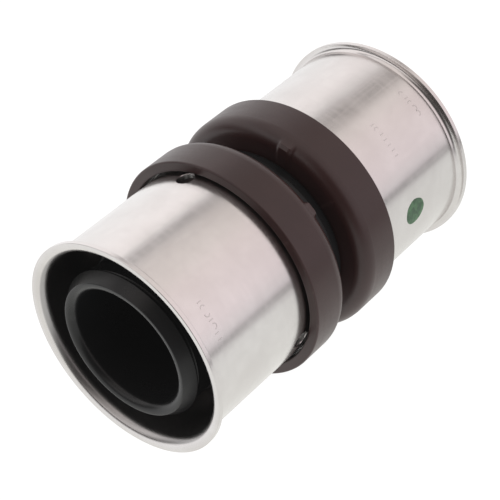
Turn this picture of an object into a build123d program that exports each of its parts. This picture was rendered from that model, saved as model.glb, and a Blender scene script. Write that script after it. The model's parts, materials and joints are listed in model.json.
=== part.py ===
from build123d import *
from math import radians, sin
import os

# Press-fit coupling that joins two 32 x 3 mm multilayer pipes in line.
#
# Frame: +X runs along the common axis, from the front mouth to the rear mouth. The origin is
# on the axis, half way between the mouths. +Z is up with the coupling lying on its two rings.
# Every profile below is drawn in the X-r half plane for the rear half (x > 0), and the front
# half is its mirror image. Angles are measured about the axis, from +Y towards +Z.

# Driving dimensions, in millimetres and degrees.
PIPE_OUTER_RADIUS = 16.0
OVERALL_LENGTH = 64.0
PIPE_STOP_X = 9.4

# Press sleeve: a drawn steel tube with a flared mouth and a small flange at its held end.
SLEEVE_WALL = 0.8
SLEEVE_INNER_RADIUS = PIPE_OUTER_RADIUS + 0.5
SLEEVE_START_X = 6.4
LIP_RADIUS = 18.5
LIP_EDGE_FILLET = 0.12
FLARE_FILLET = 0.8
HELD_FLANGE_RADIUS = 18.1
HELD_FLANGE_FILLET = 0.3
WINDOW_DIAMETER = 2.8
WINDOW_X = 10.9
WINDOW_COUNT = 3
FRONT_WINDOW_ANGLE = 72.4
REAR_WINDOW_ANGLE = 65.0

# Retaining ring: a moulded U-shaped ring that holds the sleeve's flange in its channel.
RING_RADIUS = 19.4
RING_INNER_FACE_X = 2.3
RING_OUTER_FACE_X = 10.05
RING_SHOULDER_FILLET = 2.4
RING_EDGE_FILLET = 0.3
CHANNEL_START_X = 6.25
CHANNEL_RADIUS = 18.4
CHANNEL_LIP_X = 7.35
RING_MOUTH_RADIUS = 17.7
RUNNING_CLEARANCE = 0.08
LUG_WIDTH = 3.2
LUG_START_X = 1.95
LUG_END_X = 4.6
LUG_BASE_RADIUS = 16.8
LUG_TOP_RADIUS = 18.9
LUG_FILLET = 0.6
FRONT_LUG_ANGLE = 130.2
REAR_LUG_ANGLE = 99.8

# Snap bead of the ring in the groove of the hub.
SNAP_GROOVE_START_X = 4.0
SNAP_GROOVE_END_X = 5.4
SNAP_GROOVE_DEPTH = 0.5
SNAP_CLEARANCE = 0.15

# Insert body: a moulded double nipple with a collar between the rings.
BORE_RADIUS = 10.1
BORE_ROUND = 1.3
COLLAR_RADIUS = 14.8
COLLAR_HALF_WIDTH = 2.15
COLLAR_CHAMFER = 0.4
COLLAR_RIB_RADIUS = 15.1
COLLAR_RIB_HALF_WIDTH = 0.7
HUB_RADIUS = 13.6
HUB_END_X = 8.8
NIPPLE_RADIUS = 12.8
BARB_RADIUS = 12.3
BARB_ROOT_RADIUS = 11.7
BARB_STEP = 0.1
BARB_CREST_XS = (25.2, 27.0, 29.1)
TIP_RADIUS = 12.8
TIP_LAND_START_X = 29.9
TIP_CONE_START_X = 30.1
TIP_FRONT_RADIUS = 11.65
TIP_EDGE_FILLET = 0.2

# O-rings in the two grooves of each nipple.
O_RING_SECTION_RADIUS = 0.8
O_RING_GROOVE_RADIUS = 11.4
O_RING_GROOVE_WIDTH = 2.0
INNER_O_RING_X = 18.0
OUTER_O_RING_X = 23.5

# Derived values.
HALF_LENGTH = OVERALL_LENGTH / 2
SLEEVE_RADIUS = SLEEVE_INNER_RADIUS + SLEEVE_WALL
SNAP_GROOVE_RADIUS = HUB_RADIUS - SNAP_GROOVE_DEPTH
RING_BORE_RADIUS = HUB_RADIUS + RUNNING_CLEARANCE
RING_SPIGOT_RADIUS = SLEEVE_INNER_RADIUS - RUNNING_CLEARANCE


def revolved(outline: Wire) -> Part:
    """Turn a closed outline in the X-r half plane about the axis."""
    return revolve(make_face(Plane.XZ * outline), Axis.X, 360)


def mirrored(part: Part) -> Part:
    """The front twin of a rear piece."""
    return mirror(part, about=Plane.YZ)


def turned(part: Part, angle: float) -> Part:
    """The part turned about the axis."""
    return Rot(angle, 0, 0) * part


def sleeve_outline() -> Wire:
    """Constant-wall section: held flange, tube, and a mouth bent out to a right angle."""
    bend_start_x = HALF_LENGTH - SLEEVE_WALL - FLARE_FILLET
    bend_radius = SLEEVE_RADIUS + FLARE_FILLET
    diagonal = sin(radians(45))
    inside_fillet = FLARE_FILLET + SLEEVE_WALL
    flange_end_x = SLEEVE_START_X + SLEEVE_WALL
    return Wire([
        Line((SLEEVE_START_X, SLEEVE_INNER_RADIUS), (bend_start_x, SLEEVE_INNER_RADIUS)),
        ThreePointArc(
            (bend_start_x, SLEEVE_INNER_RADIUS),
            (bend_start_x + inside_fillet * diagonal, bend_radius - inside_fillet * diagonal),
            (HALF_LENGTH, bend_radius),
        ),
        Line((HALF_LENGTH, bend_radius), (HALF_LENGTH, LIP_RADIUS)),
        Line((HALF_LENGTH, LIP_RADIUS), (HALF_LENGTH - SLEEVE_WALL, LIP_RADIUS)),
        Line((HALF_LENGTH - SLEEVE_WALL, LIP_RADIUS), (HALF_LENGTH - SLEEVE_WALL, bend_radius)),
        ThreePointArc(
            (HALF_LENGTH - SLEEVE_WALL, bend_radius),
            (bend_start_x + FLARE_FILLET * diagonal, bend_radius - FLARE_FILLET * diagonal),
            (bend_start_x, SLEEVE_RADIUS),
        ),
        Line((bend_start_x, SLEEVE_RADIUS), (flange_end_x, SLEEVE_RADIUS)),
        Line((flange_end_x, SLEEVE_RADIUS), (flange_end_x, HELD_FLANGE_RADIUS)),
        Line((flange_end_x, HELD_FLANGE_RADIUS), (SLEEVE_START_X, HELD_FLANGE_RADIUS)),
        Line((SLEEVE_START_X, HELD_FLANGE_RADIUS), (SLEEVE_START_X, SLEEVE_INNER_RADIUS)),
    ])


def circles_at(part: Part, x: float, radius: float) -> ShapeList:
    """The full-circle edges of a turned part at a station and radius."""
    return ShapeList(
        edge for edge in part.edges().filter_by(GeomType.CIRCLE)
        if abs(edge.arc_center.X - x) < 1e-3 and abs(edge.radius - radius) < 1e-3
    )


def press_sleeve(first_window_angle: float) -> Part:
    """Steel sleeve with its inspection windows beside the ring."""
    sleeve = revolved(sleeve_outline())
    lip_edges = circles_at(sleeve, HALF_LENGTH, LIP_RADIUS)
    lip_edges += circles_at(sleeve, HALF_LENGTH - SLEEVE_WALL, LIP_RADIUS)
    sleeve = fillet(lip_edges, LIP_EDGE_FILLET)
    held_edges = circles_at(sleeve, SLEEVE_START_X, HELD_FLANGE_RADIUS)
    held_edges += circles_at(sleeve, SLEEVE_START_X + SLEEVE_WALL, HELD_FLANGE_RADIUS)
    sleeve = fillet(held_edges, HELD_FLANGE_FILLET)
    punch = Rot(90, 0, 0) * Cylinder(WINDOW_DIAMETER / 2, 4 * SLEEVE_WALL)
    punch = Pos(WINDOW_X, SLEEVE_RADIUS, 0) * punch
    for index in range(WINDOW_COUNT):
        sleeve -= turned(punch, first_window_angle + index * 360 / WINDOW_COUNT)
    return sleeve


def ring_outline() -> Wire:
    """U-shaped section: web, outer skirt with the flange channel, inner spigot, snap bead."""
    bead_radius = SNAP_GROOVE_RADIUS + SNAP_CLEARANCE
    bead_start_x = SNAP_GROOVE_START_X + SNAP_CLEARANCE
    bead_end_x = SNAP_GROOVE_END_X - SNAP_CLEARANCE
    return Polyline(
        (RING_INNER_FACE_X, RING_BORE_RADIUS),
        (bead_start_x, RING_BORE_RADIUS),
        (bead_start_x, bead_radius),
        (bead_end_x, bead_radius),
        (bead_end_x, RING_BORE_RADIUS),
        (PIPE_STOP_X, RING_BORE_RADIUS),
        (PIPE_STOP_X, RING_SPIGOT_RADIUS),
        (CHANNEL_START_X, RING_SPIGOT_RADIUS),
        (CHANNEL_START_X, CHANNEL_RADIUS),
        (CHANNEL_LIP_X, CHANNEL_RADIUS),
        (CHANNEL_LIP_X, RING_MOUTH_RADIUS),
        (RING_OUTER_FACE_X, RING_MOUTH_RADIUS),
        (RING_OUTER_FACE_X, RING_RADIUS),
        (RING_INNER_FACE_X, RING_RADIUS),
        close=True,
    )


def ring_lug() -> Part:
    """Small rounded lug that fills the shoulder of the ring, drawn on +Y."""
    length = LUG_END_X - LUG_START_X
    height = LUG_TOP_RADIUS - LUG_BASE_RADIUS
    block = Box(length, height, LUG_WIDTH)
    exposed = block.edges().filter_by(Axis.X).group_by(Axis.Y)[-1]
    exposed += block.faces().sort_by(Axis.X)[0].edges().filter_by(Axis.Y)
    block = fillet(exposed, LUG_FILLET)
    return Pos((LUG_START_X + LUG_END_X) / 2, (LUG_BASE_RADIUS + LUG_TOP_RADIUS) / 2, 0) * block


def retaining_ring(lug_angle: float) -> Part:
    """Plastic ring that holds a sleeve on the hub, with its single lug."""
    ring = revolved(ring_outline())
    ring = fillet(circles_at(ring, RING_INNER_FACE_X, RING_RADIUS), RING_SHOULDER_FILLET)
    mouth_edges = circles_at(ring, RING_OUTER_FACE_X, RING_RADIUS)
    mouth_edges += circles_at(ring, RING_OUTER_FACE_X, RING_MOUTH_RADIUS)
    ring = fillet(mouth_edges, RING_EDGE_FILLET)
    return ring + turned(ring_lug(), lug_angle)


def nipple_outline() -> list[tuple[float, float]]:
    """Points of the outer profile of one half of the body, from the collar's rib to the tip."""
    groove_half = O_RING_GROOVE_WIDTH / 2
    hub_drop = HUB_RADIUS - NIPPLE_RADIUS
    points = [
        (COLLAR_RIB_HALF_WIDTH, COLLAR_RIB_RADIUS),
        (COLLAR_RIB_HALF_WIDTH, COLLAR_RADIUS),
        (COLLAR_HALF_WIDTH - COLLAR_CHAMFER, COLLAR_RADIUS),
        (COLLAR_HALF_WIDTH, COLLAR_RADIUS - COLLAR_CHAMFER),
        (COLLAR_HALF_WIDTH, HUB_RADIUS),
        (SNAP_GROOVE_START_X, HUB_RADIUS),
        (SNAP_GROOVE_START_X, SNAP_GROOVE_RADIUS),
        (SNAP_GROOVE_END_X, SNAP_GROOVE_RADIUS),
        (SNAP_GROOVE_END_X, HUB_RADIUS),
        (HUB_END_X, HUB_RADIUS),
        (HUB_END_X + hub_drop, NIPPLE_RADIUS),
    ]
    for center in (INNER_O_RING_X, OUTER_O_RING_X):
        points += [
            (center - groove_half, NIPPLE_RADIUS),
            (center - groove_half, O_RING_GROOVE_RADIUS),
            (center + groove_half, O_RING_GROOVE_RADIUS),
            (center + groove_half, NIPPLE_RADIUS),
        ]
    # The barbs rise from the tip towards the collar and drop steeply behind each crest.
    for crest_x in BARB_CREST_XS:
        points += [(crest_x - BARB_STEP, BARB_ROOT_RADIUS), (crest_x, BARB_RADIUS)]
    points += [
        (TIP_LAND_START_X - BARB_STEP, BARB_ROOT_RADIUS),
        (TIP_LAND_START_X, TIP_RADIUS),
        (TIP_CONE_START_X, TIP_RADIUS),
        (HALF_LENGTH, TIP_FRONT_RADIUS),
    ]
    return points


def insert_body() -> Part:
    """Double nipple with its collar, O-ring grooves, barbs and through bore."""
    rear = nipple_outline()
    front = [(-x, r) for x, r in reversed(rear)]
    bore = [(HALF_LENGTH, BORE_RADIUS), (-HALF_LENGTH, BORE_RADIUS)]
    body = revolved(Polyline(*front, *rear, *bore, close=True))
    for end_x in (HALF_LENGTH, -HALF_LENGTH):
        body = fillet(circles_at(body, end_x, BORE_RADIUS), BORE_ROUND)
        body = fillet(circles_at(body, end_x, TIP_FRONT_RADIUS), TIP_EDGE_FILLET)
    return body


def o_ring(center_x: float) -> Part:
    """O-ring that rests on the floor of its groove."""
    center_radius = O_RING_GROOVE_RADIUS + O_RING_SECTION_RADIUS
    return Pos(center_x, 0, 0) * Rot(0, 90, 0) * Torus(center_radius, O_RING_SECTION_RADIUS)


def main() -> None:
    """Build every piece in place and write one STEP file for each."""
    pieces = {
        "insert_body": insert_body(),
        "rear_press_sleeve": press_sleeve(REAR_WINDOW_ANGLE),
        "rear_retaining_ring": retaining_ring(REAR_LUG_ANGLE),
        "rear_inner_o_ring": o_ring(INNER_O_RING_X),
        "rear_outer_o_ring": o_ring(OUTER_O_RING_X),
        "front_press_sleeve": mirrored(press_sleeve(FRONT_WINDOW_ANGLE)),
        "front_retaining_ring": mirrored(retaining_ring(FRONT_LUG_ANGLE)),
        "front_inner_o_ring": o_ring(-INNER_O_RING_X),
        "front_outer_o_ring": o_ring(-OUTER_O_RING_X),
    }
    os.makedirs("parts", exist_ok=True)
    for name, piece in pieces.items():
        piece.label = name
        export_step(piece, f"parts/{name}.step")


main()
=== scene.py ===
"""Looks of a press-fit pipe coupling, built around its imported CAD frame.

The axis of the coupling is X. Sizes in the dataclasses below are in millimetres and degrees,
and every mesh is written in metres, in the frame's own place. Angles go about the axis, from
+Y towards +Z. A section is drawn in the (x, radius) half plane and turned by Geometry Nodes.
"""

import json
import logging
import math
from dataclasses import dataclass
from enum import Enum

import bmesh
import bpy
from mathutils import Matrix, Vector

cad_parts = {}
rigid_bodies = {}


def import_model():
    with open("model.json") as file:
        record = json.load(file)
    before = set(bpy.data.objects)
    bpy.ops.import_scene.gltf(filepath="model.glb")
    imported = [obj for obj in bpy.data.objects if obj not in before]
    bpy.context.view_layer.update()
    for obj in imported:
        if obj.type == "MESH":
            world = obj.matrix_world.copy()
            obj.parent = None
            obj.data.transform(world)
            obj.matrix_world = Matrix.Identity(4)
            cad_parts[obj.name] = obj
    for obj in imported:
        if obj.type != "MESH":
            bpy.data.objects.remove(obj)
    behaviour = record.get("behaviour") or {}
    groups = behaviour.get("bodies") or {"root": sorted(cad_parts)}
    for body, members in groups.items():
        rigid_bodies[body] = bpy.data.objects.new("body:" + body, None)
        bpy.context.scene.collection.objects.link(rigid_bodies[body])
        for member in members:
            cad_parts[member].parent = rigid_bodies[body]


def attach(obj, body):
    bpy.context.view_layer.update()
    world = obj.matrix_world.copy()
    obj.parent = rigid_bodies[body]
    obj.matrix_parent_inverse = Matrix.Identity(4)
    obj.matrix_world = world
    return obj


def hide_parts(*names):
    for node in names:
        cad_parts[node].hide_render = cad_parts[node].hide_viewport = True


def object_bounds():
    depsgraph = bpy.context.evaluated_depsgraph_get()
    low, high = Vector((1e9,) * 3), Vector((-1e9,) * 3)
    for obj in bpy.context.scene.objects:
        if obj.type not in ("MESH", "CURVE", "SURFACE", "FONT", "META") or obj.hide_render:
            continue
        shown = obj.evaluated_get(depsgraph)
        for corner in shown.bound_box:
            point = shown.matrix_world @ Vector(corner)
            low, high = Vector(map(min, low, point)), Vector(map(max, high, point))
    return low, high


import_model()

CAD_BOX = [list(corner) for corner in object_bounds()]
MM = 0.001
LOG = logging.getLogger("coupling")

Socket = bpy.types.NodeSocket
Sockets = bpy.types.bpy_prop_collection
Colour = tuple[float, float, float]
Corner = tuple[float, float, float]
Point = tuple[float, float]


class End(Enum):
    """The two ends of the coupling, with the side of the origin that each lies on."""

    FRONT = -1
    REAR = 1

    @property
    def word(self) -> str:
        """The end's name as the frame's bodies and nodes spell it."""
        return self.name.lower()


class Slot(Enum):
    """Material slots of the record."""

    INSERT = "black_insert"
    SLEEVE = "stainless_sleeve"
    RING = "brown_ring"
    RUBBER = "black_rubber"


# ---------------------------------------------------------------------------------------------
# Node trees
# ---------------------------------------------------------------------------------------------


class Tree:
    """A node tree that is being filled, with short calls for its nodes and links."""

    def __init__(self, tree: bpy.types.NodeTree) -> None:
        """Take the tree to fill."""
        self.tree = tree

    def feed(self, socket: Socket, value: object) -> None:
        """Link an output to a socket, or set the socket's own value."""
        if isinstance(value, bpy.types.NodeSocket):
            self.tree.links.new(value, socket)
        else:
            socket.default_value = value

    def add(self, kind: str, inputs: dict | None = None, **settings: object) -> bpy.types.Node:
        """Add a node.

        Args:
            kind: The node's type name.
            inputs: Values or outputs by the name or the index of the input.
            settings: Properties of the node itself.

        Returns:
            The new node.
        """
        node = self.tree.nodes.new(kind)
        for name, value in settings.items():
            setattr(node, name, value)
        for key, value in (inputs or {}).items():
            self.feed(node.inputs[key], value)
        return node

    def math(self, operation: str, *values: object) -> Socket:
        """Output of a Math node on the values."""
        node = self.add("ShaderNodeMath", dict(enumerate(values)), operation=operation)
        return node.outputs[0]

    def vector(self, operation: str, *values: object) -> Socket:
        """Vector output of a Vector Math node on the values."""
        node = self.add("ShaderNodeVectorMath", dict(enumerate(values)), operation=operation)
        return node.outputs["Vector"]

    def scaled(self, vector: object, share: object) -> Socket:
        """A vector or a colour times a number."""
        inputs = {0: vector, "Scale": share}
        return self.add("ShaderNodeVectorMath", inputs, operation="SCALE").outputs["Vector"]

    def noise(self, where: object, scale: object, detail: float, **more: float) -> Socket:
        """Value of a noise at a place."""
        inputs = {"Vector": where, "Scale": scale, "Detail": detail, **more}
        return self.add("ShaderNodeTexNoise", inputs).outputs["Fac"]

    def step(self, value: object, low: object, high: object, out: Point = (0.0, 1.0)) -> Socket:
        """Smooth step of a value from low to high, between the two outputs."""
        inputs = {"Value": value, "From Min": low, "From Max": high}
        inputs |= {"To Min": out[0], "To Max": out[1]}
        node = self.add("ShaderNodeMapRange", inputs, interpolation_type="SMOOTHSTEP")
        return node.outputs["Result"]

    def blend(self, factor: object, first: object, second: object) -> Socket:
        """Colour between two colours, by a factor."""
        inputs = {0: factor, 6: opaque(first), 7: opaque(second)}
        return self.add("ShaderNodeMix", inputs, data_type="RGBA").outputs[2]

    def group(self, shared: bpy.types.NodeTree, **inputs: object) -> Sockets:
        """Outputs of a shared shader group that is placed with the inputs."""
        return self.add("ShaderNodeGroup", inputs, node_tree=shared).outputs


def opaque(colour: object) -> object:
    """A plain colour with its alpha of 1, or an output as it is."""
    return (*colour, 1.0) if isinstance(colour, tuple) and len(colour) == 3 else colour


def shared_tree(name: str, kind: str, inputs: dict, outputs: dict) -> tuple[Tree, dict, dict]:
    """Start a node group with named sockets.

    Args:
        name: The group's name.
        kind: ShaderNodeTree or GeometryNodeTree.
        inputs: Socket type by input name, or the type with its default value.
        outputs: Socket type by output name.

    Returns:
        The tree to fill, its input sockets by name, and its output sockets by name.
    """
    tree = bpy.data.node_groups.new(name, kind)
    for socket_name, spec in inputs.items():
        kind_name, default = spec if isinstance(spec, tuple) else (spec, None)
        socket = tree.interface.new_socket(
            socket_name, in_out="INPUT", socket_type="NodeSocket" + kind_name
        )
        if default is not None:
            socket.default_value = default
    for socket_name, kind_name in outputs.items():
        tree.interface.new_socket(
            socket_name, in_out="OUTPUT", socket_type="NodeSocket" + kind_name
        )
    entries = {s.name: s for s in tree.nodes.new("NodeGroupInput").outputs if s.name}
    exits = {s.name: s for s in tree.nodes.new("NodeGroupOutput").inputs if s.name}
    return Tree(tree), entries, exits


# ---------------------------------------------------------------------------------------------
# Shared surface effects
# ---------------------------------------------------------------------------------------------


class Effects:
    """Shader node groups that several finishes share, each built once."""

    def __init__(self) -> None:
        """Build every shared group."""
        self.place = self._place()
        self.mottle = self._mottle()
        self.grain = self._grain()
        self.streaks = self._streaks()
        self.edges = self._edges()

    @staticmethod
    def _place() -> bpy.types.NodeTree:
        """Where a point is on the turned coupling, and its distance from the axis."""
        outputs = {"Position": "Vector", "Radius": "Float"}
        tree, _, exits = shared_tree("turned_place", "ShaderNodeTree", {}, outputs)
        position = tree.add("ShaderNodeTexCoord").outputs["Object"]
        flat = tree.vector("MULTIPLY", position, (0.0, 1.0, 1.0))
        length = tree.add("ShaderNodeVectorMath", {0: flat}, operation="LENGTH")
        tree.feed(exits["Position"], position)
        tree.feed(exits["Radius"], length.outputs["Value"])
        return tree.tree

    @staticmethod
    def _mottle() -> bpy.types.NodeTree:
        """Slow uneven patches, from 0 to 1."""
        inputs = {"Vector": "Vector", "Scale": "Float", "Contrast": "Float"}
        tree, entries, exits = shared_tree("mottle", "ShaderNodeTree", inputs, {"Mask": "Float"})
        noise = tree.noise(
            entries["Vector"], entries["Scale"], 4.0, Roughness=0.55, Distortion=0.4
        )
        low = tree.math("MULTIPLY_ADD", entries["Contrast"], -0.25, 0.5)
        high = tree.math("MULTIPLY_ADD", entries["Contrast"], 0.25, 0.5)
        tree.feed(exits["Mask"], tree.step(noise, high, low, out=(1.0, 0.0)))
        return tree.tree

    @staticmethod
    def _grain() -> bpy.types.NodeTree:
        """Fine pebbled grain of a moulded or blasted surface."""
        inputs = {"Vector": "Vector", "Scale": "Float"}
        outputs = {"Height": "Float", "Mask": "Float"}
        tree, entries, exits = shared_tree("fine_grain", "ShaderNodeTree", inputs, outputs)
        where = {"Vector": entries["Vector"], "Scale": entries["Scale"]}
        cells = tree.add("ShaderNodeTexVoronoi", where, feature="SMOOTH_F1")
        noise = tree.noise(entries["Vector"], tree.math("MULTIPLY", entries["Scale"], 0.6), 3.0)
        height = tree.math("MULTIPLY_ADD", cells.outputs["Distance"], 0.6, noise)
        tree.feed(exits["Height"], height)
        tree.feed(exits["Mask"], tree.step(noise, 0.40, 0.62))
        return tree.tree

    @staticmethod
    def _streaks() -> bpy.types.NodeTree:
        """Lines along or around the axis: the vector is stretched before the noise."""
        inputs = {"Vector": "Vector", "Stretch": "Vector", "Scale": "Float"}
        outputs = {"Height": "Float", "Mask": "Float"}
        tree, entries, exits = shared_tree("streaks", "ShaderNodeTree", inputs, outputs)
        stretched = tree.vector("MULTIPLY", entries["Vector"], entries["Stretch"])
        noise = tree.noise(stretched, entries["Scale"], 2.0, Roughness=0.45)
        tree.feed(exits["Height"], noise)
        tree.feed(exits["Mask"], tree.step(noise, 0.44, 0.66))
        return tree.tree

    @staticmethod
    def _edges() -> bpy.types.NodeTree:
        """Worn convex edges, broken up by a noise."""
        inputs = {"Vector": "Vector"}
        tree, entries, exits = shared_tree("edge_wear", "ShaderNodeTree", inputs, {"Mask": "Float"})
        bend = tree.add("ShaderNodeNewGeometry").outputs["Pointiness"]
        edge = tree.step(bend, 0.52, 0.60)
        broken = tree.step(tree.noise(entries["Vector"], 900.0, 3.0), 0.35, 0.60, out=(0.35, 1.0))
        tree.feed(exits["Mask"], tree.math("MULTIPLY", edge, broken))
        return tree.tree


# ---------------------------------------------------------------------------------------------
# Finishes
# ---------------------------------------------------------------------------------------------


PATCH_SHARE = 0.35
WEAR_SHARE = 0.5


@dataclass(frozen=True)
class Finish:
    """What every finish has: a name, two base colours that it wanders between, its gloss."""

    name: str
    light: Colour
    dark: Colour
    roughness: float
    roughness_spread: float

    def material(self, effects: Effects) -> bpy.types.Material:
        """The finished material, made with the shared groups."""
        material = bpy.data.materials.new(self.name)
        material.use_nodes = True
        tree = Tree(material.node_tree)
        shader = material.node_tree.nodes["Principled BSDF"].inputs
        self.dress(tree, shader, tree.group(effects.place), effects)
        return material

    def dress(self, tree: Tree, shader: Sockets, place: Sockets, effects: Effects) -> None:
        """Fill the material's tree.

        Args:
            tree: The material's tree.
            shader: Inputs of its Principled shader.
            place: Position on the coupling, and Radius.
            effects: The shared groups.
        """
        raise NotImplementedError

    def rough(self, tree: Tree, *masks: Socket) -> Socket:
        """Roughness that rises from its lower to its upper value with the mean of the masks."""
        total = masks[0]
        for mask in masks[1:]:
            total = tree.math("ADD", total, mask)
        share = tree.math("DIVIDE", total, float(len(masks)))
        low = self.roughness - self.roughness_spread
        return tree.math("MULTIPLY_ADD", share, 2.0 * self.roughness_spread, low)

    @staticmethod
    def bump(tree: Tree, height: Socket, depth: float, under: Socket | None = None) -> Socket:
        """Normal from a height in the range 0 to 1 that stands for a depth in millimetres."""
        inputs = {"Height": height, "Distance": depth * MM, "Strength": 1.0}
        if under is not None:
            inputs["Normal"] = under
        return tree.add("ShaderNodeBump", inputs).outputs["Normal"]


@dataclass(frozen=True)
class DrawnSteel(Finish):
    """Bright drawn stainless sheet with die lines along the tube, rougher on its inner side, with
    painted shade: its inside and window walls are coloured darker.
    """

    die_line_depth: float = 0.00025
    peel_depth: float = 0.0012
    frost_depth: float = 0.0
    # Painted shade: the darker base colour of the inner side and the window walls.
    dull: Colour = (0.42, 0.41, 0.405)
    dull_roughness: float = 0.14
    dull_radii: Point = (17.0, 17.25)

    def dress(self, tree: Tree, shader: Sockets, place: Sockets, effects: Effects) -> None:
        """Fill the material's tree."""
        where = place["Position"]
        patches = tree.group(effects.mottle, Vector=where, Scale=120.0, Contrast=0.8)["Mask"]
        cloud = tree.group(effects.mottle, Vector=where, Scale=420.0, Contrast=0.9)["Mask"]
        lines = tree.group(effects.streaks, Vector=where, Stretch=(0.03, 1.0, 1.0), Scale=2600.0)
        rubs = tree.group(effects.streaks, Vector=where, Stretch=(1.0, 0.08, 0.08), Scale=1500.0)
        worn = tree.group(effects.edges, Vector=where)["Mask"]
        colour = tree.blend(patches, self.light, self.dark)
        colour = tree.blend(tree.math("MULTIPLY", cloud, PATCH_SHARE), colour, self.dark)
        colour = tree.blend(tree.math("MULTIPLY", worn, WEAR_SHARE), colour, self.light)
        # Painted shade: inside the outer skin the base colour turns darker, so the tube's inside and
        # the window walls read shaded; the same mask raises the roughness.
        low, high = self.dull_radii
        shade_inside_mask = tree.step(place["Radius"], low * MM, high * MM, out=(1.0, 0.0))
        tree.feed(shader["Base Color"], tree.blend(shade_inside_mask, colour, self.dull))
        shader["Metallic"].default_value = 1.0
        rough = self.rough(tree, lines["Mask"], cloud, rubs["Mask"])
        rough = tree.math("MULTIPLY_ADD", shade_inside_mask, self.dull_roughness, rough)
        tree.feed(shader["Roughness"], rough)
        normal = self.bump(tree, tree.noise(where, 260.0, 2.0), self.peel_depth)
        normal = self.bump(tree, lines["Height"], self.die_line_depth, normal)
        if self.frost_depth:
            frost = tree.group(effects.grain, Vector=where, Scale=9000.0)
            normal = self.bump(tree, frost["Height"], self.frost_depth, normal)
        tree.feed(shader["Normal"], normal)


@dataclass(frozen=True)
class MouldedPlastic(Finish):
    """Moulded plastic with a fine grain, slow flow patches and rubbed edges."""

    grain_scale: float
    grain_depth: float
    edge_colour: Colour
    specular: float
    flow_depth: float = 0.003

    def dress(self, tree: Tree, shader: Sockets, place: Sockets, effects: Effects) -> None:
        """Fill the material's tree."""
        where = place["Position"]
        flow = tree.group(effects.mottle, Vector=where, Scale=160.0, Contrast=0.9)["Mask"]
        grain = tree.group(effects.grain, Vector=where, Scale=self.grain_scale)
        knit = tree.group(effects.streaks, Vector=where, Stretch=(1.0, 0.12, 0.12), Scale=900.0)
        worn = tree.group(effects.edges, Vector=where)["Mask"]
        colour = tree.blend(flow, self.light, self.dark)
        colour = tree.blend(tree.math("MULTIPLY", grain["Mask"], PATCH_SHARE), colour, self.dark)
        colour = tree.blend(tree.math("MULTIPLY", worn, WEAR_SHARE), colour, self.edge_colour)
        tree.feed(shader["Base Color"], colour)
        shader["Specular IOR Level"].default_value = self.specular
        tree.feed(shader["Roughness"], self.rough(tree, flow, grain["Mask"], knit["Mask"]))
        normal = self.bump(tree, tree.noise(where, 220.0, 1.0), self.flow_depth)
        tree.feed(shader["Normal"], self.bump(tree, grain["Height"], self.grain_depth, normal))


@dataclass(frozen=True)
class GreasedRubber(Finish):
    """Smooth black rubber under an uneven film of grease."""

    def dress(self, tree: Tree, shader: Sockets, place: Sockets, effects: Effects) -> None:
        """Fill the material's tree."""
        where = place["Position"]
        film = tree.group(effects.mottle, Vector=where, Scale=500.0, Contrast=0.6)["Mask"]
        grain = tree.group(effects.grain, Vector=where, Scale=7000.0)
        tree.feed(shader["Base Color"], tree.blend(film, self.light, self.dark))
        tree.feed(shader["Roughness"], self.rough(tree, grain["Mask"], film))
        tree.feed(shader["Coat Weight"], tree.math("MULTIPLY", film, 0.8))
        shader["Coat Roughness"].default_value = 0.12
        tree.feed(shader["Normal"], self.bump(tree, grain["Height"], 0.003))


@dataclass(frozen=True)
class StampedPaint(Finish):
    """Opaque marking paint, thinner and darker in places, with a grainy dried film."""

    def dress(self, tree: Tree, shader: Sockets, place: Sockets, effects: Effects) -> None:
        """Fill the material's tree."""
        where = place["Position"]
        thin = tree.group(effects.mottle, Vector=where, Scale=700.0, Contrast=0.7)["Mask"]
        grain = tree.group(effects.grain, Vector=where, Scale=6000.0)
        tree.feed(shader["Base Color"], tree.blend(thin, self.light, self.dark))
        tree.feed(shader["Roughness"], self.rough(tree, grain["Mask"]))
        tree.feed(shader["Normal"], self.bump(tree, grain["Height"], 0.006))


STEEL = DrawnSteel("drawn_stainless", (0.72, 0.70, 0.69), (0.66, 0.635, 0.625), 0.22, 0.04)
ETCHED = DrawnSteel(
    "stamped_stainless", (0.60, 0.58, 0.57), (0.50, 0.48, 0.47), 0.36, 0.06, frost_depth=0.004
)
BROWN = MouldedPlastic(
    "brown_moulded_ring", (0.0345, 0.0125, 0.0115), (0.0285, 0.0098, 0.0090), 0.36, 0.05,
    grain_scale=5200.0, grain_depth=0.004, edge_colour=(0.066, 0.038, 0.034), specular=0.48,
)
BLACK = MouldedPlastic(
    "black_moulded_insert", (0.0095, 0.0098, 0.0102), (0.0065, 0.0068, 0.0072), 0.32, 0.06,
    grain_scale=7000.0, grain_depth=0.002, edge_colour=(0.020, 0.020, 0.021), specular=0.34,
)
RUBBER = GreasedRubber("greased_rubber", (0.010, 0.010, 0.010), (0.006, 0.006, 0.006), 0.45, 0.10)
GREEN = StampedPaint("green_marking_paint", (0.070, 0.175, 0.080), (0.030, 0.085, 0.040), 0.50, 0.08)


# ---------------------------------------------------------------------------------------------
# Sections and the lathe
# ---------------------------------------------------------------------------------------------

ARC_STEP = math.radians(14.0)
STRAIGHT = 1e-4
SUPPORT = 0.05
SUPPORT_SHARE = 0.3
SHORTEST_SUPPORT = 0.004
SEAM_MERGE = 0.0005
POINT_MERGE = 0.0002


def rounded(corners: list[Corner]) -> list[Point]:
    """Points of a closed outline whose corners are rounded.

    Each arc ends beside a support point, so that smooth shading stays within the arc.

    Args:
        corners: (x, radius, fillet) of each corner, in millimetres.

    Returns:
        The (x, radius) points.
    """
    points: list[Point] = []
    for index, (x, r, fillet) in enumerate(corners):
        at = Vector((x, r))
        before = Vector(corners[index - 1][:2]) - at
        after = Vector(corners[(index + 1) % len(corners)][:2]) - at
        points += corner_points(at, before, after, fillet)
    return points


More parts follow.
